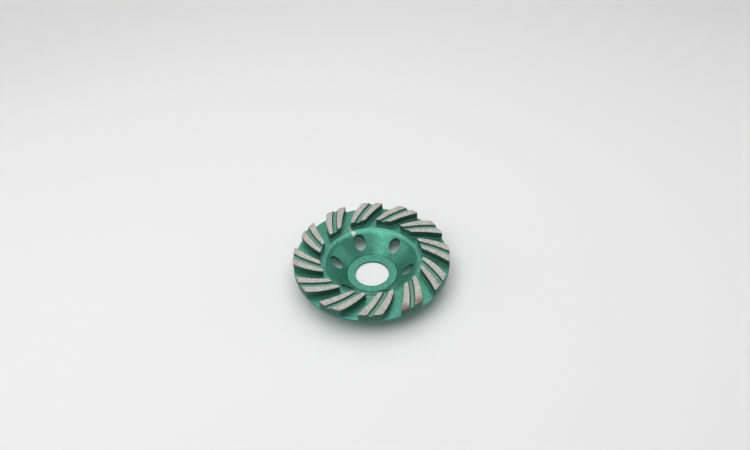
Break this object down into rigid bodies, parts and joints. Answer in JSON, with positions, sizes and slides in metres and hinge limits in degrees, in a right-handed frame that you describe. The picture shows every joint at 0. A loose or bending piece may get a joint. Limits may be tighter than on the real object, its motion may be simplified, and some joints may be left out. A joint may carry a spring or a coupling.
{
  "type": "diamond cup grinding wheel",
  "caption": "Shallow stamped steel cup with a centre bore, vent holes in its dished wall and swept, grooved abrasive segments on its flat flange, for grinding stone.",
  "frame": {"origin": "centre of the bore in the plane of the hub's back face, which is the middle of the bottom of the part's box", "axes": "+Z along the wheel's axis from the hub's back towards the grinding face; +X to the right and +Y away from the camera in the picture"},
  "size_m": [0.1, 0.1, 0.0191],
  "materials": {
    "painted_steel": "satin green metallic paint",
    "sintered_segment": "sintered metal and diamond grit, ground bare on top, painted green on the sides"
  },
  "bodies": {
    "root": {"cup_body": "painted_steel", "segment_01": "sintered_segment", "segment_02": "sintered_segment", "segment_03": "sintered_segment", "segment_04": "sintered_segment", "segment_05": "sintered_segment", "segment_06": "sintered_segment", "segment_07": "sintered_segment", "segment_08": "sintered_segment", "segment_09": "sintered_segment", "segment_10": "sintered_segment", "segment_11": "sintered_segment", "segment_12": "sintered_segment"}
  },
  "joints": []
}
